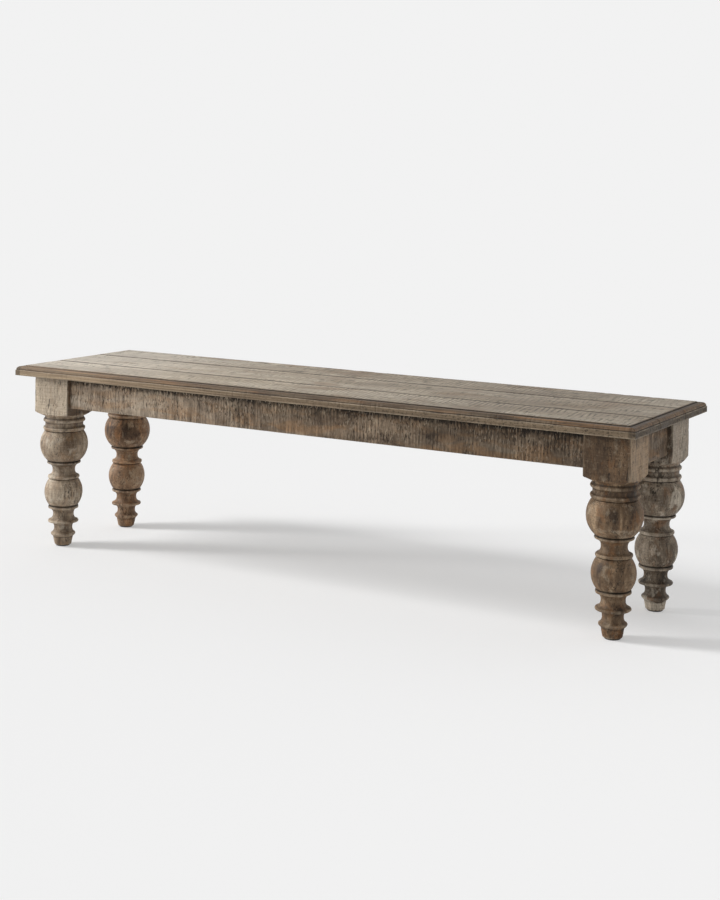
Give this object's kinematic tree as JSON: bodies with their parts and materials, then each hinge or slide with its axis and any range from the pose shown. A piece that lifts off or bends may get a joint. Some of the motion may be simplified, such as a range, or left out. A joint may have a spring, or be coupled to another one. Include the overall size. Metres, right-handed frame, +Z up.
{
  "type": "wooden bench",
  "caption": "Long low wooden bench: plank seat with a moulded edge on an apron frame and heavy turned legs with square heads.",
  "frame": {"origin": "middle of the bench's footprint, at floor level", "axes": "+X along the bench's length, to the right as seen from the front; -Y toward the front; +Z up"},
  "size_m": [1.6, 0.44, 0.45],
  "materials": {
    "seat_timber": "weathered, dry, matt",
    "apron_timber": "rough sawn, matt",
    "leg_timber": "weathered, turned, matt",
    "inner_timber": "planed, bare",
    "zinc_steel": "zinc plated",
    "glide_plastic": "matt"
  },
  "bodies": {
    "root": {"apron_front": "apron_timber", "apron_left": "apron_timber", "apron_rear": "apron_timber", "apron_right": "apron_timber", "batten_screws": "zinc_steel", "bolt_nuts": "zinc_steel", "bolt_washers": "zinc_steel", "clip_screws": "zinc_steel", "corner_block_front_left": "inner_timber", "corner_block_front_right": "inner_timber", "corner_block_rear_left": "inner_timber", "corner_block_rear_right": "inner_timber", "corner_block_screws": "zinc_steel", "cross_batten_centre": "inner_timber", "cross_batten_left": "inner_timber", "cross_batten_right": "inner_timber", "foot_glide_front_left": "glide_plastic", "foot_glide_front_right": "glide_plastic", "foot_glide_rear_left": "glide_plastic", "foot_glide_rear_right": "glide_plastic", "hanger_bolts": "zinc_steel", "leg_front_left": "leg_timber", "leg_front_right": "leg_timber", "leg_rear_left": "leg_timber", "leg_rear_right": "leg_timber", "seam_spline_front": "inner_timber", "seam_spline_rear": "inner_timber", "seat_clips": "zinc_steel", "seat_plank_front": "seat_timber", "seat_plank_middle": "seat_timber", "seat_plank_rear": "seat_timber"}
  },
  "joints": []
}
